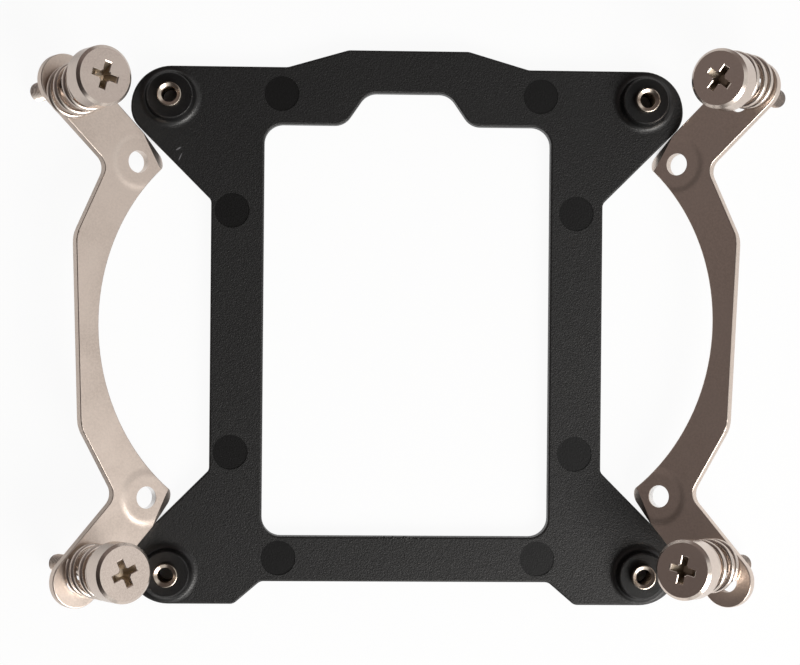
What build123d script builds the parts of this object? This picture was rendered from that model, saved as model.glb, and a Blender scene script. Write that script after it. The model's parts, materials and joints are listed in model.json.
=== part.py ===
from build123d import *
import os
from math import asin, atan2, cos, degrees, hypot, radians, sin, sqrt, tan

# Mounting bracket for a processor cooler: a moulded back plate with four threaded bushes, and two
# stamped steel arms that carry captive spring screws. The plate lies on a table with its bushes up.
# Each arm leans on the lower corner of the plate and stands on the tip of its upper screw.
# Lengths are in millimetres and angles in degrees. The origin is the middle of the bush pattern, on
# the table. +X is right, +Y is away from the viewer and +Z is up.

# Back plate
BUSH_PITCH = 75.0            # spacing of the four bushes along X and along Y
PLATE_T = 2.5                # thickness of the plate
EAR_REACH = 6.2              # bush axis to the outermost side of a corner
EAR_MARGIN = 4.9             # bush axis to the straight top and bottom edges
EAR_ROUND = 6.4              # radius of a corner
EAR_BLEND = 4.4              # radius from a corner into its 45 degree side
GUSSET_MARGIN = 6.86         # bush axis to the 45 degree side of a corner
WAIST_HALF = 31.0            # half width of the plate between the corners
WAIST_ROUND = 1.2            # radius where a 45 degree side meets the waist
BUMP_H = 2.8                 # height of the raised part of the top edge
BUMP_TOP_HALF = 9.5          # half width of that part at its top
BUMP_BASE_HALF = 19.1        # half width of that part at its foot
BUMP_ROUND = 2.0             # radius of its corners
STEP_H = 3.6                 # depth of the wide notch in the bottom edge
STEP_HALF = 22.8             # half width of that notch at its inner end
STEP_RUN = 4.2               # width of the slope at each end of that notch
STEP_ROUND = 1.5             # radius of its corners
SIDE_BAND = 8.3              # width of the plate beside the opening
TOP_BAND = 9.0               # width of the plate above the opening
BOTTOM_BAND = 7.1            # width of the plate below the opening
OPEN_ROUND = 3.0             # radius of the opening's corners
OPEN_BUMP_H = 5.1            # height of the bay in the opening's top edge
OPEN_BUMP_TOP_HALF = 6.5     # half width of the bay at its top
OPEN_BUMP_BASE_HALF = 10.0   # half width of the bay at its foot
PLATE_EDGE = 0.3             # radius of the plate's upper edges
MARK_R = 2.75                # radius of a round ejector mark
MARK_DEPTH = 0.15            # depth of a round ejector mark
SIDE_MARK_INSET = 3.75       # side edge to the middle of a side mark
SIDE_MARK_SHIFT = -0.45      # how far to the right all four side marks lie
SIDE_MARK_UP = 19.7          # middle line to an upper side mark
SIDE_MARK_DOWN = 18.45       # middle line to a lower side mark
BAND_MARK_HALF = 20.5        # half the spacing of the two marks on the top or bottom band
BAND_MARK_SHIFT = 0.5        # how far to the right those marks lie
TOP_MARK_INSET = 4.8         # opening to the middle of a mark on the top band
BOTTOM_MARK_INSET = 3.4      # opening to the middle of a mark on the bottom band

# Bosses and threaded bushes
BOSS_H = 2.4                 # height of a boss above the plate
BOSS_TOP_R = 3.6             # radius at its top
BOSS_CHAMFER = 0.15          # chamfer of its top edge
BOSS_WALL_R = 3.8            # radius where its wall ends and its round foot starts
BOSS_WALL_Z = 1.0            # height of that place above the plate
BOSS_BASE_R = 5.0            # radius where the foot runs into the plate
BUSH_PROUD = 1.8             # height of a bush above its boss
BUSH_R = 1.9                 # outer radius of a bush
BUSH_BORE_R = 1.25           # M3 thread, minor radius
BUSH_FLANGE_R = 3.1          # radius of its flange under the plate
BUSH_FLANGE_T = 1.0          # thickness of that flange
BUSH_CHAMFER = 0.22          # chamfer at its mouth
SEAT_GAP = 0.02              # clearance of a moulded-in bush in the plate

# Arms
ARM_T = 1.5                  # sheet thickness
STRIP_W = 8.1                # width of an end strip
SLOT_W = 3.4                 # width of a screw slot
SLOT_IN = 1.9                # slot centre travel from the 75 mm place towards the middle
SLOT_OUT = 1.4               # slot centre travel from the 75 mm place outwards
HOLE_R = 1.75                # radius of a cooler hole
HOLE_INSET = 15.88           # 75 mm place to a cooler hole, along the end strip
TAB_INSET = 19.8             # 75 mm place to the tab's corner, along the end strip
PAD_TOP_R = 3.3              # flat radius of the raised pad round a cooler hole
PAD_BASE_R = 4.8             # radius of that pad at its foot
PAD_RISE = 0.12              # height of that pad
FLAT_REACH = 2.9             # cooler hole to the line where the tab's corner is pressed down
FLAT_TURN = 28.0             # turn of that line from the arm's length
FLAT_SLOPE = 40.0            # slope of the pressed corner
ARM_WAIST = 3.45             # width of the arm at its middle
ARM_BACK = 0.3               # straight back edge, from the line of the screws towards the middle
BACK_HALF = 14.8             # half length of the straight back edge
BACK_ANGLE = 27.7            # turn from the back edge to the run beside it
BACK_ROUND = 5.0             # radius of that turn
NOTCH_ROUND = 2.4            # radius where that run meets the end strip
TAB_ROUND = 1.5              # radius of the tab's corner
ARM_EDGE = 0.2               # radius of the sheet's edges

# Captive screws
HEAD_R = 4.6                 # radius of a head
HEAD_H = 3.6                 # height of a head
HEAD_CHAMFER = 0.45          # chamfer of its upper edge
SHANK_R = 1.5                # radius of the shank
THREAD_CORE_R = 1.22         # M3 thread, minor radius
THREAD_NECK = 0.5            # plain shank between the clip's groove and the thread
TIP_CHAMFER = 0.3            # chamfer of the thread's end
THREAD_REACH = 10.2          # arm's underside to the thread's end
CROSS_SPAN = 4.3             # span of the cross recess
CROSS_W = 0.95               # width of a wing of the recess
CROSS_DEPTH = 2.1            # depth of the recess
CROSS_FOOT = 1.5             # span of the recess at its bottom
CROSS_CORE_R = 0.95          # radius of the round middle of the recess at its top
CROSS_CHAMFER = 0.1          # chamfer round the top of the recess

# Springs
SPRING_L = 8.5               # length of a spring as fitted
SPRING_R = 3.75              # radius to the middle of its wire
WIRE_R = 0.5                 # radius of its wire
SPRING_PITCH = 3.0           # rise of a turn between the closed ends
END_TURNS = 0.8              # turns of the closed coil at each end
END_GAP = 0.05               # gap under the closed coil's second turn
SPRING_GAP = 0.05            # clearance at each end of a spring

# Retaining clips
CLIP_R = 3.1                 # outer radius of a clip
CLIP_RING_W = 1.0            # width of its ring
CLIP_T = 0.5                 # thickness of a clip
CLIP_LUG_W = 1.1             # width of a lug
CLIP_MOUTH = 2.5             # width of its open side
GROOVE_R = 1.1               # radius at the bottom of the screw's groove
CLIP_GAP = 0.05              # clearance of a clip in its groove and under its arm

# How the arms lie
TABLE_GAP = 0.1              # upper screw tips above the table
REST_GAP = 0.55              # arm to the plate's edge, sideways
REST_V = 29.7                # place along the lower strip where it lies on the plate's edge
LEFT_HEADING = 2.2
LEFT_TILT = 32.1
LEFT_SHIFT_Y = 0.5
RIGHT_HEADING = -3.4
RIGHT_TILT = 34.2
RIGHT_SHIFT_Y = 1.0
LEFT_UPPER_SLIDE = 0.46      # how far out each screw sits in its slot, from the 75 mm place
LEFT_LOWER_SLIDE = -1.42
RIGHT_UPPER_SLIDE = 0.69
RIGHT_LOWER_SLIDE = -1.5
LEFT_UPPER_TURN = -17.0      # turn of each screw's cross recess
LEFT_LOWER_TURN = 22.0
RIGHT_UPPER_TURN = 54.0
RIGHT_LOWER_TURN = -10.0
LEFT_UPPER_COIL = 36.0       # turn of each spring's lower end
LEFT_LOWER_COIL = 151.0
RIGHT_UPPER_COIL = 0.0
RIGHT_LOWER_COIL = 151.0
LEFT_UPPER_SLIP = 0.9        # how far each loose spring has slipped sideways on its screw
LEFT_LOWER_SLIP = 0.3
RIGHT_UPPER_SLIP = 0.85
RIGHT_LOWER_SLIP = 0.25

# Values that follow from the sizes above
BUSH_HALF = BUSH_PITCH / 2
EAR_X = BUSH_HALF + EAR_REACH
EDGE_Y = BUSH_HALF + EAR_MARGIN
GUSSET = GUSSET_MARGIN * sqrt(2)
EAR_CORNER_Y = EAR_X - GUSSET
WAIST_Y = WAIST_HALF - GUSSET
STEP_Y = EDGE_Y - STEP_H
OPEN_HALF = WAIST_HALF - SIDE_BAND
OPEN_TOP = EDGE_Y - TOP_BAND
OPEN_BOTTOM = STEP_Y - BOTTOM_BAND
BOSS_TOP_Z = PLATE_T + BOSS_H
BUSH_TOP_Z = BOSS_TOP_Z + BUSH_PROUD
REST_OFFSET = (GUSSET_MARGIN + REST_GAP) * sqrt(2)
STRIP_HALF = STRIP_W / 2
WAIST_U = ARM_BACK + ARM_WAIST
GROOVE_TOP = -CLIP_GAP
ROUND_SHARE = 0.98           # most of a side that the two radii at its ends may take
SHANK_TOP = ARM_T + SPRING_L
BUSH_PLACES = {
    "upper_left": (-BUSH_HALF, BUSH_HALF),
    "upper_right": (BUSH_HALF, BUSH_HALF),
    "lower_left": (-BUSH_HALF, -BUSH_HALF),
    "lower_right": (BUSH_HALF, -BUSH_HALF),
}


def rounded_face(corners):
    """Face inside (x, y, radius) corners. Radii that a side has no room for are cut to its length."""
    points = [Vector(x, y) for x, y, _ in corners]
    after = [points[i + 1 - len(points)] - point for i, point in enumerate(points)]
    half_turns = [radians(side.get_angle(after[i - 1])) / 2 for i, side in enumerate(after)]
    needs = [corner[2] * tan(half_turn) for corner, half_turn in zip(corners, half_turns)]
    shares = [1.0] * len(points)
    for i, side in enumerate(after):
        j = i + 1 - len(points)
        share = ROUND_SHARE * side.length / max(needs[i] + needs[j], ROUND_SHARE * side.length)
        shares[i] = min(shares[i], share)
        shares[j] = min(shares[j], share)
    radii = [corner[2] * share for corner, share in zip(corners, shares)]
    return make_face(FilletPolyline(*points, radius=radii, close=True).edges())


def mirrored(half):
    """Closed list of corners from the half with x above zero, listed from the top down."""
    return half + [(-x, y, radius) for x, y, radius in reversed(half)]


def plate_outline():
    return rounded_face(mirrored([
        (BUMP_TOP_HALF, EDGE_Y + BUMP_H, BUMP_ROUND),
        (BUMP_BASE_HALF, EDGE_Y, BUMP_ROUND),
        (EAR_X, EDGE_Y, EAR_ROUND),
        (EAR_X, EAR_CORNER_Y, EAR_BLEND),
        (WAIST_HALF, WAIST_Y, WAIST_ROUND),
        (WAIST_HALF, -WAIST_Y, WAIST_ROUND),
        (EAR_X, -EAR_CORNER_Y, EAR_BLEND),
        (EAR_X, -EDGE_Y, EAR_ROUND),
        (STEP_HALF + STEP_RUN, -EDGE_Y, STEP_ROUND),
        (STEP_HALF, -STEP_Y, STEP_ROUND),
    ]))


def opening_outline():
    return rounded_face(mirrored([
        (OPEN_BUMP_TOP_HALF, OPEN_TOP + OPEN_BUMP_H, OPEN_ROUND),
        (OPEN_BUMP_BASE_HALF, OPEN_TOP, OPEN_ROUND),
        (OPEN_HALF, OPEN_TOP, OPEN_ROUND),
        (OPEN_HALF, -OPEN_BOTTOM, OPEN_ROUND),
    ]))


def turned(profile):
    """Solid of revolution about Z from (radius, z) points."""
    section = Plane.XZ * make_face(Polyline(*profile, close=True).edges())
    return revolve(section, Axis.Z)


def boss():
    section = Polyline((BOSS_WALL_R, BOSS_WALL_Z), (BOSS_TOP_R, BOSS_H - BOSS_CHAMFER),
                       (BOSS_TOP_R - BOSS_CHAMFER, BOSS_H), (0, BOSS_H), (0, -PLATE_T / 2),
                       (BOSS_BASE_R, -PLATE_T / 2), (BOSS_BASE_R, 0))
    foot = TangentArc((BOSS_BASE_R, 0), (BOSS_WALL_R, BOSS_WALL_Z), tangent=(-1, 0))
    return Pos(0, 0, PLATE_T) * revolve(Plane.XZ * make_face([*section.edges(), foot]), Axis.Z)


def mark_places():
    places = []
    for side in (-1, 1):
        side_x = SIDE_MARK_SHIFT + side * (WAIST_HALF - SIDE_MARK_INSET)
        band_x = BAND_MARK_SHIFT + side * BAND_MARK_HALF
        places += [(side_x, SIDE_MARK_UP), (side_x, -SIDE_MARK_DOWN)]
        places += [(band_x, OPEN_TOP + TOP_MARK_INSET), (band_x, -OPEN_BOTTOM - BOTTOM_MARK_INSET)]
    return places


def back_plate():
    plate = extrude(plate_outline(), PLATE_T) - extrude(opening_outline(), PLATE_T)
    plate = fillet(plate.faces().sort_by(Axis.Z)[-1].edges(), PLATE_EDGE)
    marks = Sketch() + [Pos(x, y, PLATE_T) * Circle(MARK_R) for x, y in mark_places()]
    plate -= extrude(marks, -MARK_DEPTH)
    flat = extrude(offset(plate_outline(), -PLATE_EDGE), BOSS_TOP_Z)
    for x, y in BUSH_PLACES.values():
        plate += Pos(x, y) * boss() & flat
    seat = turned([(0, 0), (BUSH_FLANGE_R + SEAT_GAP, 0), (BUSH_FLANGE_R + SEAT_GAP, BUSH_FLANGE_T),
                   (BUSH_R + SEAT_GAP, BUSH_FLANGE_T), (BUSH_R + SEAT_GAP, BOSS_TOP_Z), (0, BOSS_TOP_Z)])
    for x, y in BUSH_PLACES.values():
        plate -= Pos(x, y) * seat
    return plate


def bush():
    return turned([
        (BUSH_BORE_R, 0), (BUSH_FLANGE_R, 0), (BUSH_FLANGE_R, BUSH_FLANGE_T), (BUSH_R, BUSH_FLANGE_T),
        (BUSH_R, BUSH_TOP_Z - BUSH_CHAMFER), (BUSH_R - BUSH_CHAMFER, BUSH_TOP_Z),
        (BUSH_BORE_R + BUSH_CHAMFER, BUSH_TOP_Z), (BUSH_BORE_R, BUSH_TOP_Z - BUSH_CHAMFER),
    ])


# An arm's own frame has u (X) towards the processor, v (Y) along the arm and w (Z) out of its upper
# face, with w = 0 at its underside and u = 0 at the 75 mm places of its two screws.


def on_strip(side, along, across=0.0):
    """Point on an end strip: along it from the 75 mm place outwards, and across it to the middle."""
    u = (across - along) * sqrt(0.5)
    v = BUSH_HALF + (across + along) * sqrt(0.5)
    return u, side * v


def arm_outline():
    tab_u, tab_v = on_strip(1, -TAB_INSET, STRIP_HALF)
    arc_sag = tab_u - WAIST_U
    arc_r = (arc_sag ** 2 + tab_v ** 2) / (2 * arc_sag)
    arc_u = WAIST_U + arc_r
    run = radians(BACK_ANGLE)
    strip_back = BUSH_HALF - STRIP_W * sqrt(0.5)
    climb = (strip_back - ARM_BACK - BACK_HALF) / (sin(run) + cos(run))
    notch = (ARM_BACK + climb * sin(run), BACK_HALF + climb * cos(run))
    inside = on_strip(1, STRIP_HALF - arc_u * sqrt(2), STRIP_HALF)
    upper = [
        (*inside, 0.0),
        (*on_strip(1, SLOT_OUT, STRIP_HALF), 0.0),
        (*on_strip(1, SLOT_OUT, -STRIP_HALF), 0.0),
        (*notch, NOTCH_ROUND),
        (ARM_BACK, BACK_HALF, BACK_ROUND),
    ]
    lower = [(u, -v, radius) for u, v, radius in reversed(upper)]
    outline = rounded_face(upper + lower)
    for side in (1, -1):
        outline += Pos(*on_strip(side, SLOT_OUT)) * Circle(STRIP_HALF)
    outline -= Pos(arc_u, 0) * Circle(arc_r)
    tabs = outline.vertices().sort_by(Axis.X)[-2:]
    return fillet(tabs, TAB_ROUND)


def cooler_hole(side):
    return on_strip(side, -HOLE_INSET)


def slot(side):
    first = on_strip(side, -SLOT_IN)
    last = on_strip(side, SLOT_OUT)
    ends = [Pos(*place) * Circle(SLOT_W / 2) for place in (first, last)]
    middle = Pos((first[0] + last[0]) / 2, (first[1] + last[1]) / 2) * Rot(0, 0, side * 135)
    return ends[0] + ends[1] + middle * Rectangle(SLOT_IN + SLOT_OUT, SLOT_W)


def pad_form():
    """Raised pad on z = 0 with a soft slope: two arcs that meet halfway down."""
    halfway = ((PAD_TOP_R + PAD_BASE_R) / 2, PAD_RISE / 2)
    section = Polyline((PAD_BASE_R, 0), (0, 0), (0, PAD_RISE), (PAD_TOP_R, PAD_RISE))
    crown = TangentArc((PAD_TOP_R, PAD_RISE), halfway, tangent=(1, 0))
    foot = TangentArc((PAD_BASE_R, 0), halfway, tangent=(-1, 0))
    return revolve(Plane.XZ * make_face([*section.edges(), crown, foot]), Axis.Z)


def pressed_corner(side):
    """Space above the pressed corner of a tab, in the frame of its cooler hole."""
    size = 2 * STRIP_W
    above = Pos(0, 0, size / 2) * Box(size, size, size)
    edge = Rot(0, 0, side * FLAT_TURN) * Pos(FLAT_REACH, 0, ARM_T + PAD_RISE)
    return edge * Rot(0, FLAT_SLOPE, 0) * above


def arm():
    outline = arm_outline()
    sheet = extrude(outline, ARM_T)
    faces = sheet.faces().sort_by(Axis.Z)
    sheet = fillet(faces[0].edges() + faces[-1].edges(), ARM_EDGE)
    inner = offset(outline, -ARM_EDGE)
    for side in (1, -1):
        middle = Pos(*cooler_hole(side))
        sheet += (middle * Pos(0, 0, ARM_T) * pad_form()) & Pos(0, 0, ARM_T) * extrude(inner, PAD_RISE)
        sheet -= middle * pad_form()
        sheet -= middle * pressed_corner(side)
        sheet -= middle * Cylinder(HOLE_R, 4 * ARM_T)
        sheet -= Pos(0, 0, -ARM_T) * extrude(slot(side), 3 * ARM_T)
    return sheet


def cross_recess():
    wing_section = Polyline((-CROSS_SPAN / 2, 0), (CROSS_SPAN / 2, 0), (CROSS_FOOT / 2, -CROSS_DEPTH),
                            (-CROSS_FOOT / 2, -CROSS_DEPTH), close=True)
    wing = extrude(Plane.XZ * make_face(wing_section.edges()), CROSS_W / 2, both=True)
    core = turned([(0, 0), (CROSS_CORE_R, 0), (CROSS_W / 2, -CROSS_DEPTH), (0, -CROSS_DEPTH)])
    return wing + Rot(0, 0, 90) * wing + core


def screw():
    """Screw along w, in the frame of its arm, with its axis at u = 0 and v = 0."""
    groove_bottom = GROOVE_TOP - CLIP_T - 2 * CLIP_GAP
    thread_top = groove_bottom - THREAD_NECK
    thread_end = -THREAD_REACH
    head_top = SHANK_TOP + HEAD_H
    body = turned([
        (0, thread_end), (THREAD_CORE_R - TIP_CHAMFER, thread_end),
        (THREAD_CORE_R, thread_end + TIP_CHAMFER), (THREAD_CORE_R, thread_top), (SHANK_R, thread_top),
        (SHANK_R, groove_bottom), (GROOVE_R, groove_bottom), (GROOVE_R, GROOVE_TOP + CLIP_GAP),
        (SHANK_R, GROOVE_TOP + CLIP_GAP), (SHANK_R, SHANK_TOP), (HEAD_R, SHANK_TOP),
        (HEAD_R, head_top - HEAD_CHAMFER), (HEAD_R - HEAD_CHAMFER, head_top), (0, head_top),
    ])
    body -= Pos(0, 0, head_top) * cross_recess()
    rim = body.faces().sort_by(Axis.Z)[-1].inner_wires()[0]
    return chamfer(rim.edges(), CROSS_CHAMFER)


def spring():
    """Right-handed coil with closed ends: three helices in a row, with a ball of wire at each change."""
    end_pitch = 2 * WIRE_R + END_GAP
    end_rise = END_TURNS * end_pitch
    middle_rise = SPRING_L - 2 * (WIRE_R + SPRING_GAP + end_rise)
    start = ARM_T + WIRE_R + SPRING_GAP
    coil = Part()
    turn = 0.0
    height = start
    for pitch, rise in ((end_pitch, end_rise), (SPRING_PITCH, middle_rise), (end_pitch, end_rise)):
        path = Helix(pitch, rise, SPRING_R)
        wire = sweep(Plane(path @ 0, z_dir=path % 0) * Circle(WIRE_R), path=path, is_frenet=True)
        if height > start:
            coil += Pos(0, 0, height) * Rot(0, 0, turn) * Pos(SPRING_R, 0) * Sphere(WIRE_R)
        coil += Pos(0, 0, height) * Rot(0, 0, turn) * wire
        turn += 360 * rise / pitch
        height += rise
    return coil


def clip():
    ring = Circle(CLIP_R) - Circle(CLIP_R - CLIP_RING_W)
    mouth = Pos(CLIP_R / 2 + CLIP_MOUTH / 2, 0) * Rectangle(CLIP_R + CLIP_MOUTH, CLIP_MOUTH)
    lug_inner = GROOVE_R + CLIP_GAP
    lug_length = CLIP_R - CLIP_RING_W / 2 - lug_inner
    lug = Pos(lug_inner + lug_length / 2, 0) * Rectangle(lug_length, CLIP_LUG_W)
    face = ring - mouth
    for turn in (90, 180, 270):
        face += Rot(0, 0, turn) * lug
    return Pos(0, 0, GROOVE_TOP) * extrude(face, -CLIP_T)


def carried(place, point):
    """Where a point of a piece comes to lie."""
    return (place * Pos(*point)).position


def arm_place(side, heading, tilt, shift_y, upper_slide):
    """Place of an arm that leans on the plate. Side is -1 on the left of the plate and 1 on its right."""
    facing = 0 if side < 0 else 180
    leaning = Rot(0, -side * tilt, 0) * Rot(0, 0, heading + facing)
    up = -side
    tip_u, tip_v = on_strip(up, upper_slide)
    tip = carried(leaning, (tip_u + THREAD_CORE_R - TIP_CHAMFER, tip_v, -THREAD_REACH))
    rest_u = BUSH_HALF + STRIP_W * sqrt(0.5) - REST_V
    rest_point = (rest_u, -up * REST_V, 0)
    rest = carried(leaning, rest_point)
    rise_wanted = PLATE_T
    length = tip.Y - rest.Y
    height = tip.Z - rest.Z
    roll = degrees(asin((-rise_wanted) / hypot(length, height)) - atan2(height, length))
    rolled = Rot(roll, 0, 0) * leaning
    rest = carried(rolled, rest_point)
    rest_x = side * (REST_OFFSET - rest.Y - shift_y)
    return Pos(rest_x - rest.X, shift_y, TABLE_GAP + PLATE_T - rest.Z) * rolled


LEFT_PLACE = arm_place(-1, LEFT_HEADING, LEFT_TILT, LEFT_SHIFT_Y, LEFT_UPPER_SLIDE)
RIGHT_PLACE = arm_place(1, RIGHT_HEADING, RIGHT_TILT, RIGHT_SHIFT_Y, RIGHT_UPPER_SLIDE)

# Each screw by name: its arm's place, the end of the arm that it sits at, its slide and its turn, and
# the turn and the slip of its spring
SCREWS = {
    "upper_left": (LEFT_PLACE, 1, LEFT_UPPER_SLIDE, LEFT_UPPER_TURN, LEFT_UPPER_COIL, LEFT_UPPER_SLIP),
    "lower_left": (LEFT_PLACE, -1, LEFT_LOWER_SLIDE, LEFT_LOWER_TURN, LEFT_LOWER_COIL, LEFT_LOWER_SLIP),
    "upper_right": (RIGHT_PLACE, -1, RIGHT_UPPER_SLIDE, RIGHT_UPPER_TURN, RIGHT_UPPER_COIL, RIGHT_UPPER_SLIP),
    "lower_right": (RIGHT_PLACE, 1, RIGHT_LOWER_SLIDE, RIGHT_LOWER_TURN, RIGHT_LOWER_COIL, RIGHT_LOWER_SLIP),
}


def screw_place(name):
    place, end, slide, *_ = SCREWS[name]
    return place * Pos(*on_strip(end, slide))


def write(node, shape):
    shape.label = node
    export_step(shape, "parts/" + node + ".step")


os.makedirs("parts", exist_ok=True)
write("back_plate", back_plate())
for name, (x, y) in BUSH_PLACES.items():
    write("bush_" + name, Pos(x, y) * bush())
write("left_arm", LEFT_PLACE * arm())
write("right_arm", RIGHT_PLACE * arm())
for name, (_, _, _, turn, coil_turn, slip) in SCREWS.items():
    write("screw_" + name, screw_place(name) * Rot(0, 0, turn) * screw())
    write("spring_" + name, screw_place(name) * Pos(0, -slip) * Rot(0, 0, coil_turn) * spring())
    write("clip_" + name, screw_place(name) * clip())
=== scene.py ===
import json
import random
from collections import namedtuple
from math import cos, pi, radians, sin, tau

import bmesh
import bpy
from mathutils import Matrix, Vector


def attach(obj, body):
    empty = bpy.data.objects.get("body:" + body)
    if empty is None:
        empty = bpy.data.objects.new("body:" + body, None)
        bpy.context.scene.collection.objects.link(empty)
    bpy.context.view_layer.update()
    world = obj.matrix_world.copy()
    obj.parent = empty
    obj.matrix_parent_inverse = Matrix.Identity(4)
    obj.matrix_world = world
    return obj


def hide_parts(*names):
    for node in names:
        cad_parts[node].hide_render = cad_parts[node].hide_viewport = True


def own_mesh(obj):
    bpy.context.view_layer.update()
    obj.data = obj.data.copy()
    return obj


# Looks of a processor cooler's mounting bracket: a moulded back plate with threaded bushes, and two
# nickel-plated arms with captive spring screws. Lengths are in millimetres, and MM makes them metres.
# Only the camera, the light and the floor are placed in metres.

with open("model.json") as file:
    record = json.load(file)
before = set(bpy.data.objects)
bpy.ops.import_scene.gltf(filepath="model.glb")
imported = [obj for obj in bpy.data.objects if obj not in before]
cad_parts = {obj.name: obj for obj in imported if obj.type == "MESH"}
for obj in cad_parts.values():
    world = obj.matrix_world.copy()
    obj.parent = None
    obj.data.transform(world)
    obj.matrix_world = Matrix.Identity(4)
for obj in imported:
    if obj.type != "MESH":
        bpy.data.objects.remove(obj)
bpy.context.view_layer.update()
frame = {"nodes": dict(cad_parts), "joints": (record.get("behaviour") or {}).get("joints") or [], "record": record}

MM = 0.001
UP = Vector((0, 0, 1))
CORNERS = ("upper_left", "upper_right", "lower_left", "lower_right")
JOINTS = {joint["name"]: joint for joint in frame["joints"]}
MOUNTS = {mount["name"]: mount for mount in frame["record"]["mounts"]}

# Plate and arms
PLATE_T = 2.5                # thickness of the plate
MARK_DEPTH = 0.15            # depth of a round ejector mark
ARM_T = 1.5                  # sheet thickness of an arm
HOLE_R = 1.75                # radius of an arm's cooler hole
STRIP_ANGLE = 135.0          # from an arm's inner side to its slot's outer end, in degrees
SLIP_ANGLE = -90.0           # from that side to where the springs have slipped, in degrees

# Springs
SPRING_L = 8.5               # length of a spring as fitted
SPRING_R = 3.75              # radius to the middle of its wire
WIRE_R = 0.5                 # radius of its wire
SPRING_PITCH = 3.0           # rise of a turn between the closed ends
END_TURNS = 0.8              # turns of the closed coil at each end
END_PITCH = 1.05             # rise of a turn of the closed coil
SPRING_GAP = 0.05            # clearance at each end of a spring
WIRE_SIDES = 20              # sides of the wire
COIL_STEPS = 56              # steps of a turn
WIRE_SHARP = 50.0            # turn in degrees from which an edge stays sharp

# Screws
THREAD_MAJOR_R = 1.5         # M3 thread
THREAD_MINOR_R = 1.22
THREAD_PITCH = 0.5
THREAD_TOP = 1.6             # arm's underside to the thread's upper end
THREAD_REACH = 10.2          # arm's underside to the thread's lower end
THREAD_END = 0.12            # plain end below the thread
RIDGE_SHARE = 0.44           # half width of a ridge at its root, as a share of the pitch
RIDGE_CREST = 0.06           # half width of a ridge at its crest
RIDGE_SINK = 0.06            # depth of a ridge's root below the core
THREAD_FADE = 0.45           # length over which a thread runs out
THREAD_STEPS = 40            # steps of a turn
THREAD_SHARP = 30.0          # turn in degrees from which an edge stays sharp
HEAD_TOP = 12.1              # arm's upper face to the top of a screw's head
CROSS_R = 2.4                # radius round the cross recess

# Bushes, with a finer mouth than the solid's
BUSH_TOP_Z = 6.7             # height of a bush
BUSH_R = 1.9                 # outer radius of a bush
BUSH_BORE_R = 1.25           # radius of its thread's crests
BUSH_FLANGE_R = 3.1          # radius of its flange
BUSH_FLANGE_T = 1.0          # thickness of that flange
FLANGE_CHAMFER = 0.07        # chamfer of the flange's lower edge
BUSH_CHAMFER = 0.15          # chamfer of its upper edge and of its bore's foot
EDGE_SHARE = 0.3             # how far the upper edge's middle stands in, as a share of its chamfer
BUSH_SINK = 0.48             # width of the dish at its mouth
BUSH_SINK_DEPTH = 0.24       # depth of that dish
CREST_W = 0.1                # width of a crest of its thread
GROOVE_GAP = 0.02            # how far a groove stays inside the M3 radius
BUSH_STEPS = 72              # steps round a bush
BUSH_SHARP = 25.0            # turn in degrees from which an edge stays sharp
MERGE_GAP = 0.0005           # points nearer than this are one

# Gate scar: torn flakes of plastic on the opening's lower edge
SCAR_PLACE = (-1.4, -31.85)  # middle of the scar
SCAR_SPREAD = 1.6            # how far the flakes scatter along the edge
SCAR_ACROSS = (-0.18, 0.12)  # how far they lie from the edge
SCAR_SINK = 0.06             # depth of their middles in the plate
FLAKES = 26
FLAKE_SIZE = (0.08, 0.2)     # smallest and largest radius of a flake
FLAKE_SHAPE = (1.6, 1.0, 0.7)  # its reach along, across and up, as shares of its radius
FLAKE_UNEVEN = (0.75, 1.15)  # how far its points stand from its middle, as shares of that reach
FLAKE_TURN = 0.5             # most that a flake turns, in radians
SCAR_SEED = 7


def new_object(name, mesh_data, body, material):
    """Piece from a bmesh, at the origin, riding a body."""
    mesh = bpy.data.meshes.new(name)
    mesh_data.to_mesh(mesh)
    mesh_data.free()
    for polygon in mesh.polygons:
        polygon.use_smooth = True
    piece = bpy.data.objects.new(name, mesh)
    bpy.context.scene.collection.objects.link(piece)
    piece.data.materials.append(material)
    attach(piece, body)
    return piece


def sharpen(mesh_data, angle):
    """Edges that turn by more than an angle in degrees stay sharp."""
    for edge in mesh_data.edges:
        if len(edge.link_faces) == 2:
            edge.smooth = edge.calc_face_angle() < radians(angle)


def screw_frame(corner):
    """Frame of a screw: on its axis at the arm's upper face, z towards the head and x along the slot."""
    turn = JOINTS[corner + "_turn"]
    up = Vector(turn["axis"]).normalized()
    along = Vector(JOINTS[corner + "_slot_slide"]["axis"])
    along = (along - along.dot(up) * up).normalized()
    turned = Matrix((along, up.cross(along), up)).transposed().to_4x4()
    return Matrix.Translation(Vector(turn["pos_m"])) @ turned


# Node helpers


def opaque(colour):
    """Colour as a socket takes it."""
    return (*colour, 1.0)


def emptied_tree(block):
    """Node tree of a new material or world, with nothing in it yet."""
    block.use_nodes = True
    block.node_tree.nodes.clear()
    return block.node_tree


def add(tree, kind, **values):
    """Node of a kind, with its settings."""
    node = tree.nodes.new(kind)
    for name, value in values.items():
        setattr(node, name, value)
    return node


def put(node, **values):
    """Constants on a node's sockets, by the socket's name with spaces as underscores."""
    for name, value in values.items():
        node.inputs[name.replace("_", " ")].default_value = value
    return node


def feed(tree, socket, value):
    """Another node's output, or a constant, into a socket."""
    if isinstance(value, bpy.types.NodeSocket):
        tree.links.new(value, socket)
    else:
        socket.default_value = value


def maths(tree, operation, *values):
    """Output of a maths node on outputs or constants."""
    node = add(tree, "ShaderNodeMath", operation=operation)
    for socket, value in zip(node.inputs, values):
        feed(tree, socket, value)
    return node.outputs["Value"]


def vector_maths(tree, operation, *values):
    """Output of a vector maths node on outputs or constants: a number or a vector."""
    node = add(tree, "ShaderNodeVectorMath", operation=operation)
    for socket, value in zip(node.inputs, values):
        feed(tree, socket, value)
    return node.outputs["Value" if operation in ("DOT_PRODUCT", "LENGTH") else "Vector"]


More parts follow.
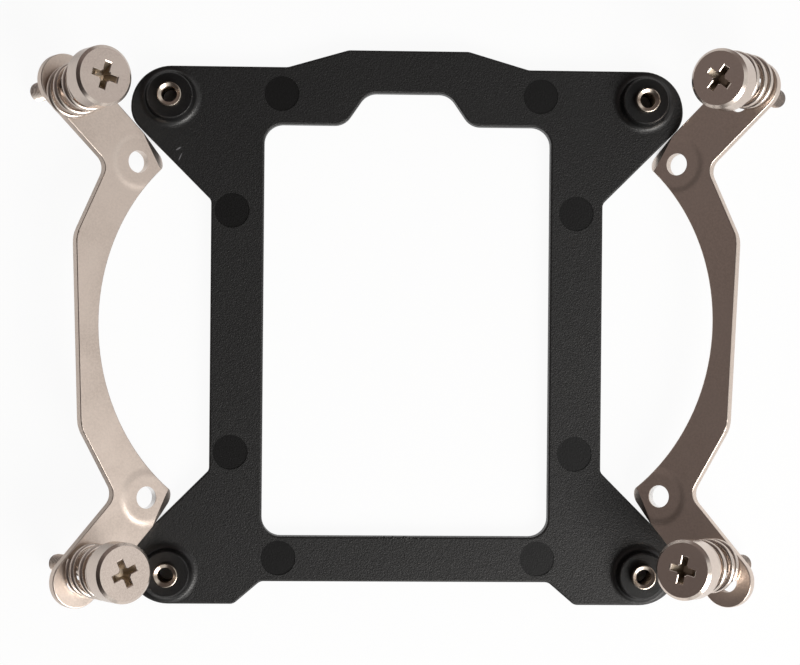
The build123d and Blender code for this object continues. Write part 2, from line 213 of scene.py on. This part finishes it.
def split(tree, vector):
    """Outputs X, Y and Z of a vector."""
    node = add(tree, "ShaderNodeSeparateXYZ")
    feed(tree, node.inputs["Vector"], vector)
    return node.outputs


def ranged(tree, value, start, end, low=0.0, high=1.0, kind="LINEAR"):
    """Number that goes from low to high as a value goes from start to end."""
    node = add(tree, "ShaderNodeMapRange", interpolation_type=kind)
    put(node, From_Min=start, From_Max=end, To_Min=low, To_Max=high)
    feed(tree, node.inputs["Value"], value)
    return node.outputs["Result"]


def mixed(tree, kind, mask, first, second):
    """First of two colours or numbers where the mask is 0, and the second where it is 1."""
    node = add(tree, "ShaderNodeMix", data_type=kind)
    sockets = [socket for socket in node.inputs if socket.enabled]
    for socket, value in zip(sockets, (mask, first, second)):
        feed(tree, socket, value)
    return next(socket for socket in node.outputs if socket.enabled)


def colour_mix(tree, mask, first, second):
    """Mix of two colours, of which the first may be another node's output."""
    start = opaque(first) if isinstance(first, tuple) else first
    return mixed(tree, "RGBA", mask, start, opaque(second))


def mixed_shader(tree, share, first, second):
    """First shader where the share is 0, and the second where it is 1."""
    node = add(tree, "ShaderNodeMixShader")
    for socket, value in zip(node.inputs, (share, first, second)):
        feed(tree, socket, value)
    return node.outputs["Shader"]


# Effects that are used more than once

SPECK_R = 0.55               # reach of a speck, as a share of a grain cell
PATCH_BAND = (0.35, 0.65)    # noise levels between which a soft patch grows
SCUFF_SOLID = 0.2            # share of a scuff that is at full strength
RECESS_RIM = 0.10            # depth at which a recess starts to take its painted tone
RECESS_WALL = 0.35           # depth at which it has that tone
RECESS_DEPTH = 2.3           # depth below which nothing of it is left


def new_group(name, inputs, outputs):
    """Shader node group, with its inputs and outputs as sockets to link from and to."""
    tree = bpy.data.node_groups.new(name, "ShaderNodeTree")
    for socket, kind in inputs.items():
        tree.interface.new_socket(socket, in_out="INPUT", socket_type="NodeSocket" + kind)
    for socket in outputs:
        tree.interface.new_socket(socket, in_out="OUTPUT", socket_type="NodeSocketFloat")
    source = add(tree, "NodeGroupInput")
    sink = add(tree, "NodeGroupOutput")
    return tree, source.outputs, sink.inputs


def grain_group():
    """Fine surface grain: a height from noise, and a mask of specks from cells."""
    inputs = {"Vector": "Vector", "Scale": "Float"}
    tree, given, wanted = new_group("surface_grain", inputs, ("Height", "Specks"))
    noise = put(add(tree, "ShaderNodeTexNoise"), Detail=3.0, Roughness=0.6)
    cells = add(tree, "ShaderNodeTexVoronoi")
    for texture in (noise, cells):
        feed(tree, texture.inputs["Vector"], given["Vector"])
        feed(tree, texture.inputs["Scale"], given["Scale"])
    feed(tree, wanted["Height"], noise.outputs["Fac"])
    feed(tree, wanted["Specks"], ranged(tree, cells.outputs["Distance"], 0.0, SPECK_R, 1.0, 0.0))
    return tree


def patch_group():
    """Broad soft patches, for handling marks and uneven plating."""
    inputs = {"Vector": "Vector", "Scale": "Float"}
    tree, given, wanted = new_group("soft_patches", inputs, ("Mask",))
    noise = put(add(tree, "ShaderNodeTexNoise"), Detail=4.0, Roughness=0.55, Distortion=0.6)
    feed(tree, noise.inputs["Vector"], given["Vector"])
    feed(tree, noise.inputs["Scale"], given["Scale"])
    feed(tree, wanted["Mask"], ranged(tree, noise.outputs["Fac"], *PATCH_BAND))
    return tree


def scuff_group():
    """Mask of a short straight scuff round its middle."""
    inputs = {"Vector": "Vector", "Middle": "Vector", "Angle": "Vector", "Half Length": "Float",
              "Half Width": "Float"}
    tree, given, wanted = new_group("short_scuff", inputs, ("Mask",))
    turn = add(tree, "ShaderNodeVectorRotate", rotation_type="EULER_XYZ")
    feed(tree, turn.inputs["Vector"], vector_maths(tree, "SUBTRACT", given["Vector"], given["Middle"]))
    feed(tree, turn.inputs["Rotation"], given["Angle"])
    parts = split(tree, turn.outputs["Vector"])
    squares = []
    for axis, size in (("X", "Half Length"), ("Y", "Half Width")):
        share = maths(tree, "DIVIDE", maths(tree, "ABSOLUTE", parts[axis]), given[size])
        squares.append(maths(tree, "POWER", share, 2.0))
    feed(tree, wanted["Mask"], ranged(tree, maths(tree, "ADD", *squares), SCUFF_SOLID, 1.0, 1.0, 0.0))
    return tree


def recess_group():
    """Mask of the walls of a recess or a hole where painted shade or a painted reflection goes, from its middle on
    the face, its axis and its radius.
    """
    inputs = {"Vector": "Vector", "Face": "Vector", "Axis": "Vector", "Radius": "Float"}
    tree, given, wanted = new_group("recess_shade", inputs, ("Mask",))
    shift = vector_maths(tree, "SUBTRACT", given["Vector"], given["Face"])
    height = vector_maths(tree, "DOT_PRODUCT", shift, given["Axis"])
    radius = vector_maths(tree, "LENGTH", vector_maths(tree, "CROSS_PRODUCT", shift, given["Axis"]))
    near = maths(tree, "LESS_THAN", radius, given["Radius"])
    deep = ranged(tree, height, -RECESS_RIM * MM, -RECESS_WALL * MM)
    above = maths(tree, "GREATER_THAN", height, -RECESS_DEPTH * MM)
    feed(tree, wanted["Mask"], maths(tree, "MULTIPLY", maths(tree, "MULTIPLY", near, deep), above))
    return tree


GRAIN = grain_group()
PATCHES = patch_group()
SCUFF = scuff_group()
RECESS = recess_group()


def use_group(tree, group, places, **values):
    """Outputs of a group that is placed in a material with its own values."""
    node = put(add(tree, "ShaderNodeGroup", node_tree=group), **values)
    feed(tree, node.inputs["Vector"], places)
    return node.outputs


# Finishes


def new_material(name):
    """Material with a surface shader, and object coordinates for its patterns."""
    material = bpy.data.materials.new(name)
    tree = emptied_tree(material)
    output = add(tree, "ShaderNodeOutputMaterial")
    surface = add(tree, "ShaderNodeBsdfPrincipled")
    places = add(tree, "ShaderNodeTexCoord").outputs["Object"]
    feed(tree, output.inputs["Surface"], surface.outputs["BSDF"])
    return material, tree, surface, places


def dress(tree, surface, colour, gloss, grain, grain_depth, strength=1.0):
    """Colour, roughness and grain on a surface shader."""
    feed(tree, surface.inputs["Base Color"], colour)
    feed(tree, surface.inputs["Roughness"], gloss)
    bump = put(add(tree, "ShaderNodeBump"), Distance=grain_depth * MM)
    feed(tree, bump.inputs["Strength"], strength)
    feed(tree, bump.inputs["Height"], grain)
    feed(tree, surface.inputs["Normal"], bump.outputs["Normal"])


# Moulded plastic: roughness goes from plain to speck, and grain is a share of the plain face's
NYLON_DARK = (0.0035, 0.0035, 0.0036)
NYLON_LIGHT = (0.005, 0.005, 0.0051)
NYLON_SPECK = (0.012, 0.012, 0.0123)
NYLON_SPECULAR = 0.52
NYLON_ROUGHNESS = (0.48, 0.36)
NYLON_PATCH_SCALE = 45.0
NYLON_GRAIN_SCALE = 4600.0
NYLON_GRAIN_DEPTH = 0.07
MARK_COLOUR = (0.004, 0.004, 0.0041)
MARK_ROUGHNESS = 0.33
MARK_GRAIN = 0.3
MARK_LEVEL_GAP = 0.01        # how near to a mark's floor a point counts as in it
BOSS_ROUGHNESS = 0.29
BOSS_GRAIN = 0.5
BOSS_FOOT = (0.02, 0.2)      # heights above the plate between which a boss's own finish starts
SCUFF_COLOUR = (0.16, 0.16, 0.17)

# Scuffs on the plate: middle x and y, angle in degrees, half length and half width
SCUFFS = (
    (-36.17, 29.33, 33.0, 0.55, 0.16),
    (-35.9, 28.03, 66.6, 0.75, 0.11),
)


def nylon():
    """Black moulded plastic with a fine grain and scuffs, smoother on the bosses and in the marks."""
    material, tree, surface, places = new_material("black_nylon")
    put(surface, Specular_IOR_Level=NYLON_SPECULAR)
    grain = use_group(tree, GRAIN, places, Scale=NYLON_GRAIN_SCALE)
    patches = use_group(tree, PATCHES, places, Scale=NYLON_PATCH_SCALE)
    height = split(tree, places)["Z"]
    in_mark = maths(tree, "COMPARE", height, (PLATE_T - MARK_DEPTH) * MM, MARK_LEVEL_GAP * MM)
    on_boss = ranged(tree, height, *((PLATE_T + rise) * MM for rise in BOSS_FOOT))
    colour = colour_mix(tree, patches["Mask"], NYLON_DARK, NYLON_LIGHT)
    colour = colour_mix(tree, grain["Specks"], colour, NYLON_SPECK)
    colour = colour_mix(tree, in_mark, colour, MARK_COLOUR)
    for x, y, angle, half_length, half_width in SCUFFS:
        scuff = use_group(tree, SCUFF, places, Middle=(x * MM, y * MM, PLATE_T * MM),
                          Angle=(0.0, 0.0, -radians(angle)), Half_Length=half_length * MM,
                          Half_Width=half_width * MM)
        colour = colour_mix(tree, scuff["Mask"], colour, SCUFF_COLOUR)
    gloss = ranged(tree, grain["Specks"], 0.0, 1.0, *NYLON_ROUGHNESS)
    gloss = mixed(tree, "FLOAT", on_boss, gloss, BOSS_ROUGHNESS)
    gloss = mixed(tree, "FLOAT", in_mark, gloss, MARK_ROUGHNESS)
    strength = ranged(tree, in_mark, 0.0, 1.0, 1.0, MARK_GRAIN)
    strength = mixed(tree, "FLOAT", on_boss, strength, BOSS_GRAIN)
    dress(tree, surface, colour, gloss, grain["Height"], NYLON_GRAIN_DEPTH, strength)
    return material


# A recess's colour is painted light: painted shade in the cross recesses, a painted reflection on the cooler
# holes' walls.
Recess = namedtuple("Recess", "middle axis radius colour roughness")

METAL_PATCH_SCALE = 90.0
SATIN_BAND = (0.38, 0.62)    # grain heights between which a satin plating goes to its glint colour
HOLE_MARGIN = 0.1            # how far round a cooler hole its painted reflection reaches
# Near-white colour on the cooler holes' walls is a painted reflection.
HOLE_PAINTED_REFLECTION = (0.95, 0.95, 0.95)
HOLE_ROUGHNESS = 0.30
# Darker colour in the cross recesses is painted shade.
CROSS_PAINTED_SHADE = (0.45, 0.38, 0.30)
CROSS_ROUGHNESS = 0.42


def cooler_holes():
    """Walls of the arms' cooler holes, painted brighter than the sheet's faces as a painted reflection."""
    holes = []
    for arm in ("left", "right"):
        mount = MOUNTS[arm + "_cooler_holes"]
        axis = Vector(mount["axis"])
        upper, lower = (Vector(JOINTS[f"{end}_{arm}_turn"]["pos_m"]) for end in ("upper", "lower"))
        along = upper - lower
        along = (along - along.dot(axis) * axis).normalized()
        for end in (1, -1):
            middle = Vector(mount["pos_m"]) + end * mount["dims"]["pcd_mm"] / 2 * MM * along
            holes.append(Recess(middle, axis, HOLE_R + HOLE_MARGIN, HOLE_PAINTED_REFLECTION, HOLE_ROUGHNESS))
    return holes


def cross_recesses():
    """Walls of the cross recesses, with painted shade that makes them darker than the heads' faces."""
    crosses = []
    for place in map(screw_frame, CORNERS):
        middle = place @ (HEAD_TOP * MM * UP)
        crosses.append(Recess(middle, place.to_3x3() @ UP, CROSS_R, CROSS_PAINTED_SHADE, CROSS_ROUGHNESS))
    return crosses


def metal(name, dark, light, roughness, grain_scale, grain_depth, glint=None, recesses=()):
    """Metal of softly varied tone. It may have a satin glint, and recesses with painted shade or a painted
    reflection.
    """
    material, tree, surface, places = new_material(name)
    put(surface, Metallic=1.0)
    patches = use_group(tree, PATCHES, places, Scale=METAL_PATCH_SCALE)["Mask"]
    grain = use_group(tree, GRAIN, places, Scale=grain_scale)["Height"]
    colour = colour_mix(tree, patches, dark, light)
    if glint:
        colour = colour_mix(tree, ranged(tree, grain, *SATIN_BAND), colour, glint)
    gloss = ranged(tree, patches, 0.0, 1.0, *roughness)
    for recess in recesses:
        walls = use_group(tree, RECESS, places, Face=recess.middle, Axis=recess.axis,
                          Radius=recess.radius * MM)["Mask"]
        # Painted shade or a painted reflection on the recess walls.
        colour = colour_mix(tree, walls, colour, recess.colour)
        gloss = mixed(tree, "FLOAT", walls, gloss, recess.roughness)
    dress(tree, surface, colour, gloss, grain, grain_depth)
    return material


BLACK_NYLON = nylon()
NICKEL_SHEET = metal(
    "nickel_sheet", dark=(0.64, 0.55, 0.482), light=(0.688, 0.597, 0.53), roughness=(0.28, 0.34),
    grain_scale=3000.0, grain_depth=0.010, glint=(0.73, 0.63, 0.557), recesses=cooler_holes())
SCREW_NICKEL = metal(
    "screw_nickel", dark=(0.65, 0.563, 0.501), light=(0.697, 0.611, 0.549), roughness=(0.19, 0.25),
    grain_scale=3600.0, grain_depth=0.007, glint=(0.74, 0.646, 0.578), recesses=cross_recesses())
BUSH_NICKEL = metal(
    "bush_nickel", dark=(0.50, 0.43, 0.36), light=(0.56, 0.49, 0.42), roughness=(0.20, 0.27),
    grain_scale=3000.0, grain_depth=0.004)
SPRING_STEEL = metal(
    "spring_steel", dark=(0.66, 0.58, 0.52), light=(0.73, 0.65, 0.59), roughness=(0.20, 0.27),
    grain_scale=4000.0, grain_depth=0.004)
CLIP_STEEL = metal(
    "clip_steel", dark=(0.36, 0.35, 0.34), light=(0.44, 0.43, 0.42), roughness=(0.34, 0.42),
    grain_scale=3000.0, grain_depth=0.004)


def finish_node(node, material):
    """Finish of a solid that stays."""
    materials = frame["nodes"][node].data.materials
    materials.clear()
    materials.append(material)


finish_node("back_plate", BLACK_NYLON)
finish_node("left_arm", NICKEL_SHEET)
finish_node("right_arm", NICKEL_SHEET)
for corner in CORNERS:
    finish_node("screw_" + corner, SCREW_NICKEL)
    finish_node("clip_" + corner, CLIP_STEEL)


# Springs


def coil(angle):
    """Right-handed wire with closed ends, along z from the arm's upper face."""
    mesh_data = bmesh.new()
    circle = bmesh.ops.create_circle(mesh_data, cap_ends=True, radius=WIRE_R * MM, segments=WIRE_SIDES)
    foot = Matrix.Translation((SPRING_R * MM, 0, (WIRE_R + SPRING_GAP) * MM))
    bmesh.ops.transform(mesh_data, matrix=foot @ Matrix.Rotation(pi / 2, 4, "X"), verts=circle["verts"])
    tip = mesh_data.verts[:] + mesh_data.edges[:] + mesh_data.faces[:]
    end_rise = END_TURNS * END_PITCH
    middle_rise = SPRING_L - 2 * (WIRE_R + SPRING_GAP + end_rise)
    for pitch, rise in ((END_PITCH, end_rise), (SPRING_PITCH, middle_rise), (END_PITCH, end_rise)):
        turns = rise / pitch
        steps = round(COIL_STEPS * turns)
        made = bmesh.ops.spin(mesh_data, geom=tip, cent=(0, 0, 0), axis=UP, angle=tau * turns,
                              dvec=(0, 0, rise * MM / steps), steps=steps, use_duplicate=False)
        tip = made["geom_last"]
    turn = Matrix.Rotation(angle, 3, "Z")
    bmesh.ops.rotate(mesh_data, cent=(0, 0, 0), matrix=turn, verts=mesh_data.verts)
    bmesh.ops.recalc_face_normals(mesh_data, faces=mesh_data.faces)
    sharpen(mesh_data, WIRE_SHARP)
    return mesh_data


# Each spring: the arm's end that it sits at, the turn of its lower end in degrees, how far it has slipped
# sideways on its screw, and how far its foot has slipped more than its middle
SPRINGS = {
    "upper_left": (1, 36.0, 0.9, 0.4),
    "upper_right": (-1, 0.0, 0.85, 0.2),
    "lower_left": (-1, 151.0, 0.3, 0.0),
    "lower_right": (1, 151.0, 0.25, 0.0),
}

for corner in CORNERS:
    place = screw_frame(corner)
    end, turn, slip, lean = SPRINGS[corner]
    spring = coil(radians(turn - end * STRIP_ANGLE))
    slip_angle = radians(SLIP_ANGLE - end * STRIP_ANGLE)
    side = Vector((cos(slip_angle), sin(slip_angle), 0))
    for vert in spring.verts:
        share_up = vert.co.z / (SPRING_L * MM)
        shift = slip + lean * (1 - 2 * share_up)
        vert.co += shift * MM * side
    bmesh.ops.transform(spring, matrix=place, verts=spring.verts)
    piece = new_object("wire_spring_" + corner, spring, corner + "_spring", SPRING_STEEL)
    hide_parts("spring_" + corner)
    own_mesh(piece)


# Screw threads


def thread():
    """Ridge of an M3 thread round the screw's end, along z from the arm's upper face."""
    half = RIDGE_SHARE * THREAD_PITCH
    low = -ARM_T - THREAD_REACH + half + THREAD_END
    rise = THREAD_REACH - THREAD_TOP - 2 * half - THREAD_END
    turns = rise / THREAD_PITCH
    steps = round(THREAD_STEPS * turns)
    root = THREAD_MINOR_R - RIDGE_SINK
    section = ((root, -half), (root, half), (THREAD_MAJOR_R, RIDGE_CREST), (THREAD_MAJOR_R, -RIDGE_CREST))
    mesh_data = bmesh.new()
    mesh_data.faces.new([mesh_data.verts.new((r * MM, 0, (low + z) * MM)) for r, z in section])
    start = mesh_data.verts[:] + mesh_data.edges[:] + mesh_data.faces[:]
    bmesh.ops.spin(mesh_data, geom=start, cent=(0, 0, 0), axis=UP, angle=tau * turns,
                   dvec=(0, 0, rise * MM / steps), steps=steps, use_duplicate=False)
    for vert in mesh_data.verts:
        height = vert.co.z / MM - low
        radius = vert.co.xy.length / MM
        fade = max(0.0, min(1.0, height / THREAD_FADE, (rise - height) / THREAD_FADE))
        vert.co.xy *= (root + (radius - root) * fade) / radius
    bmesh.ops.recalc_face_normals(mesh_data, faces=mesh_data.faces)
    sharpen(mesh_data, THREAD_SHARP)
    return mesh_data


for corner in CORNERS:
    ridge = thread()
    bmesh.ops.transform(ridge, matrix=screw_frame(corner), verts=ridge.verts)
    new_object("thread_" + corner, ridge, corner + "_screw", SCREW_NICKEL)


# Threaded bushes


def bush():
    """Turned bush with thread grooves in its bore, along z from the floor."""
    top = BUSH_TOP_Z
    edge_in = EDGE_SHARE * BUSH_CHAMFER
    profile = [
        (BUSH_FLANGE_R - FLANGE_CHAMFER, 0),
        (BUSH_FLANGE_R, FLANGE_CHAMFER),
        (BUSH_FLANGE_R, BUSH_FLANGE_T),
        (BUSH_R, BUSH_FLANGE_T),
        (BUSH_R, top - BUSH_CHAMFER),
        (BUSH_R - edge_in, top - edge_in),
        (BUSH_R - BUSH_CHAMFER, top),
        (BUSH_BORE_R + BUSH_SINK, top),
    ]
    crest = top - BUSH_SINK_DEPTH
    while crest - THREAD_PITCH > BUSH_CHAMFER:
        profile += [
            (BUSH_BORE_R, crest),
            (BUSH_BORE_R, crest - CREST_W),
            (THREAD_MAJOR_R - GROOVE_GAP, crest - (THREAD_PITCH + CREST_W) / 2),
        ]
        crest -= THREAD_PITCH
    profile += [(BUSH_BORE_R, crest), (BUSH_BORE_R, BUSH_CHAMFER), (BUSH_BORE_R + BUSH_CHAMFER, 0)]
    mesh_data = bmesh.new()
    verts = [mesh_data.verts.new((r * MM, 0, z * MM)) for r, z in profile]
    edges = [mesh_data.edges.new((verts[i - 1], vert)) for i, vert in enumerate(verts)]
    bmesh.ops.spin(mesh_data, geom=verts + edges, cent=(0, 0, 0), axis=UP, angle=tau, steps=BUSH_STEPS,
                   use_merge=True, use_duplicate=False)
    bmesh.ops.remove_doubles(mesh_data, verts=mesh_data.verts, dist=MERGE_GAP * MM)
    bmesh.ops.recalc_face_normals(mesh_data, faces=mesh_data.faces)
    sharpen(mesh_data, BUSH_SHARP)
    return mesh_data


pattern = MOUNTS["bush_pattern"]["dims"]
for corner in CORNERS:
    side_x = -1 if corner.endswith("left") else 1
    side_y = -1 if corner.startswith("lower") else 1
    x = side_x * pattern["spacing_x_mm"] / 2
    y = side_y * pattern["spacing_y_mm"] / 2
    turned = bush()
    bmesh.ops.translate(turned, verts=turned.verts, vec=(x * MM, y * MM, 0))
    piece = new_object("threaded_bush_" + corner, turned, "base", BUSH_NICKEL)
    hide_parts("bush_" + corner)


# Gate scar


def gate_scar():
    """Uneven flakes that lie half sunk along the edge."""
    draw = random.Random(SCAR_SEED)
    mesh_data = bmesh.new()
    for _ in range(FLAKES):
        along = SCAR_PLACE[0] + draw.gauss(0.0, SCAR_SPREAD)
        size = draw.uniform(*FLAKE_SIZE)
        ball = bmesh.ops.create_icosphere(mesh_data, subdivisions=2, radius=MM)
        for vert in ball["verts"]:
            vert.co *= draw.uniform(*FLAKE_UNEVEN)
        across = SCAR_PLACE[1] + draw.uniform(*SCAR_ACROSS)
        place = Matrix.Translation((along * MM, across * MM, (PLATE_T - SCAR_SINK) * MM))
        turn = Matrix.Rotation(draw.uniform(-FLAKE_TURN, FLAKE_TURN), 4, "Z")
        stretch = Matrix.Diagonal((*(share * size for share in FLAKE_SHAPE), 1.0))
        bmesh.ops.transform(mesh_data, matrix=place @ turn @ stretch, verts=ball["verts"])
    bmesh.ops.recalc_face_normals(mesh_data, faces=mesh_data.faces)
    return mesh_data


new_object("gate_scar", gate_scar(), "base", BLACK_NYLON)


# Camera, fitted to the photo

SENSOR_WIDTH = 36.0                          # in millimetres, as is the lens
LENS = 98.96
CAMERA_PLACE = (-0.015367, 0.001684, 0.350)
CAMERA_TURN = (-0.19, -2.36, 0.494)          # in degrees
CLIP_START = 0.01


def photo_camera():
    """Camera that looks down on the object from nearly overhead."""
    data = bpy.data.cameras.new("camera")
    data.sensor_fit = "HORIZONTAL"
    data.sensor_width = SENSOR_WIDTH
    data.lens = LENS
    data.clip_start = CLIP_START
    camera = bpy.data.objects.new("camera", data)
    camera.location = CAMERA_PLACE
    camera.rotation_euler = [radians(angle) for angle in CAMERA_TURN]
    bpy.context.scene.collection.objects.link(camera)
    bpy.context.scene.camera = camera


# Light and floor

WHITE = (1.0, 1.0, 1.0)
KEY_PLACE = (0.20, -0.25, 0.27)
KEY_SIZE = 0.234
KEY_RADIANCE = 9.0
KEY_COLOUR = (1.0, 0.97, 0.94)


def key_light():
    """Square light that faces the middle of the object. Its power follows from its radiance."""
    data = bpy.data.lights.new("key", "AREA")
    data.shape = "SQUARE"
    data.size = KEY_SIZE
    data.energy = KEY_RADIANCE * pi * KEY_SIZE ** 2
    data.color = KEY_COLOUR
    light = bpy.data.objects.new("key", data)
    light.location = KEY_PLACE
    light.rotation_euler = (-Vector(KEY_PLACE)).to_track_quat("-Z", "Y").to_euler()
    bpy.context.scene.collection.objects.link(light)


SHEET_COLOUR = (0.9, 0.9, 0.9)
SHEET_HALF = 4.0                      # half the sheet's side
SHEET_DROP = 0.00005                  # how far it lies below the object
SHADE_REACH = 0.006                   # how far the object's closeness darkens it
SHADE_SAMPLES = 16
SHADE_BAND = (0.16, 0.26)             # openness between which it goes from shaded to white
EYE_SHARE = 0.94                      # how much of the white the camera sees
MIRROR_SHARE = (0.5, 0.95, 0.9, 0.2)  # openness from and to, and the white that metal mirrors there


def white_floor():
    """White sheet, shown as white to the eye and in reflections, with the object's shadow kept faint."""
    material = bpy.data.materials.new("white_sheet")
    tree = emptied_tree(material)
    output = add(tree, "ShaderNodeOutputMaterial")
    sheet = put(add(tree, "ShaderNodeBsdfDiffuse"), Color=opaque(SHEET_COLOUR))
    white = put(add(tree, "ShaderNodeEmission"), Color=opaque(WHITE), Strength=1.0)
    rays = add(tree, "ShaderNodeLightPath").outputs
    shade = put(add(tree, "ShaderNodeAmbientOcclusion", samples=SHADE_SAMPLES), Distance=SHADE_REACH)
    openness = shade.outputs["AO"]
    mirrored = maths(tree, "MAXIMUM", rays["Is Glossy Ray"], rays["Is Transmission Ray"])
    share = maths(tree, "MULTIPLY", mirrored, ranged(tree, openness, *MIRROR_SHARE))
    share = maths(tree, "MULTIPLY_ADD", rays["Is Camera Ray"], EYE_SHARE, share)
    share = maths(tree, "MULTIPLY", share, ranged(tree, openness, *SHADE_BAND))
    shown = mixed_shader(tree, share, sheet.outputs["BSDF"], white.outputs["Emission"])
    feed(tree, output.inputs["Surface"], shown)
    mesh_data = bmesh.new()
    bmesh.ops.create_grid(mesh_data, x_segments=1, y_segments=1, size=SHEET_HALF)
    bmesh.ops.translate(mesh_data, verts=mesh_data.verts, vec=(0, 0, -SHEET_DROP))
    mesh = bpy.data.meshes.new("floor")
    mesh_data.to_mesh(mesh)
    mesh_data.free()
    mesh.materials.append(material)
    floor = bpy.data.objects.new("floor", mesh)
    bpy.context.scene.collection.objects.link(floor)


ROOM_COLOUR = (1.0, 0.84, 0.80)
ROOM_LEVEL = (0.5, 0.85, 0.21, 0.06)      # height of a direction from and to, and brightness there
BACK_WAY = (0.25, 1.0, 0.0)
FRONT_SHARE = (-0.45, -0.10, 0.40, 1.05)  # how far back it points from and to, and share of that
PANEL_COLOUR = (0.975, 1.0, 0.995)
RIGHT_WAY = (0.90, -0.43, 0.0)

# Brightness of the panel by how far a direction points to the right, from overhead to the horizon
PANEL_GLOW = ((0.12, 0.0), (0.34, 0.90), (0.50, 0.70), (0.70, 0.30), (0.81, 0.61), (1.0, 0.60))


def panel_glow(tree, way):
    """Brightness of the panel in a direction."""
    glow = add(tree, "ShaderNodeValToRGB")
    stops = glow.color_ramp.elements
    stops[0].position = PANEL_GLOW[0][0]
    stops[1].position = PANEL_GLOW[-1][0]
    for position, _ in PANEL_GLOW[1:-1]:
        stops.new(position)
    for stop, (_, strength) in zip(stops, PANEL_GLOW):
        stop.color = (strength, strength, strength, 1.0)
    feed(tree, glow.inputs["Fac"], vector_maths(tree, "DOT_PRODUCT", way, RIGHT_WAY))
    return glow.outputs["Color"]


def background(tree, colour, strength):
    """Light of one colour from all around, as strong as a constant or an output says."""
    node = put(add(tree, "ShaderNodeBackground"), Color=opaque(colour))
    feed(tree, node.inputs["Strength"], strength)
    return node.outputs["Background"]


def room_light():
    """Dim room with a bright panel on the right, white where the camera looks past the floor."""
    world = bpy.data.worlds.new("room")
    tree = emptied_tree(world)
    output = add(tree, "ShaderNodeOutputWorld")
    way = add(tree, "ShaderNodeTexCoord").outputs["Generated"]
    level = ranged(tree, split(tree, way)["Z"], *ROOM_LEVEL, kind="SMOOTHSTEP")
    front = ranged(tree, vector_maths(tree, "DOT_PRODUCT", way, BACK_WAY), *FRONT_SHARE)
    lit = add(tree, "ShaderNodeAddShader")
    feed(tree, lit.inputs[0], background(tree, ROOM_COLOUR, maths(tree, "MULTIPLY", level, front)))
    feed(tree, lit.inputs[1], background(tree, PANEL_COLOUR, panel_glow(tree, way)))
    white = background(tree, WHITE, 1.0)
    looked = add(tree, "ShaderNodeLightPath").outputs["Is Camera Ray"]
    feed(tree, output.inputs["Surface"], mixed_shader(tree, looked, lit.outputs["Shader"], white))
    bpy.context.scene.world = world


photo_camera()
key_light()
white_floor()
room_light()
bpy.context.scene.view_settings.view_transform = "Standard"
